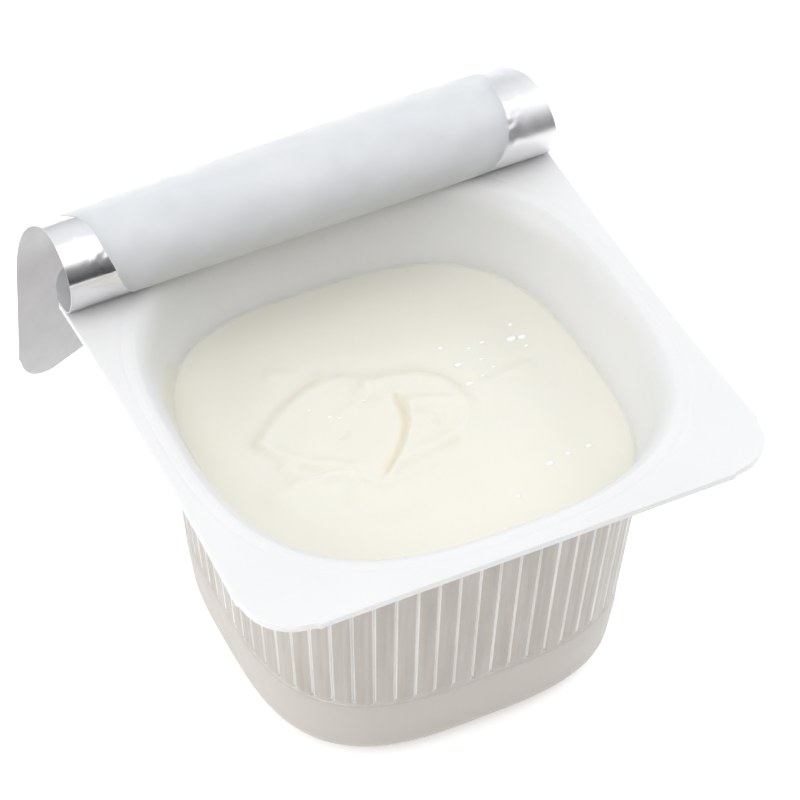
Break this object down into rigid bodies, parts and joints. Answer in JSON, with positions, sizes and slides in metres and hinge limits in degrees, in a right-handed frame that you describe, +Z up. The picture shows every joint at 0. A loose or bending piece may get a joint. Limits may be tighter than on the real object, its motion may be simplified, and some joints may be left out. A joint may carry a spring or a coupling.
{
  "type": "yogurt pot",
  "caption": "Small square pot of plain yogurt with a ribbed tapering cup and a wide flat flange; its foil lid is peeled back and rolls over behind it",
  "frame": {"origin": "Centre of the pot's flat base, on the surface that it stands on", "axes": "+Z up; +Y towards the back edge of the flange, where the lid is still stuck on; +X to the right seen from the front"},
  "size_m": [0.0765, 0.0992, 0.0586],
  "materials": {
    "pot": "white thermoformed plastic, satin gloss, slightly translucent",
    "yogurt": "cream coloured, moist and smooth",
    "lid": "thin aluminium foil, bright inside, with a film of yogurt on its underside"
  },
  "bodies": {
    "root": {"pot": "pot", "yogurt": "yogurt", "lid": "lid"}
  },
  "joints": []
}
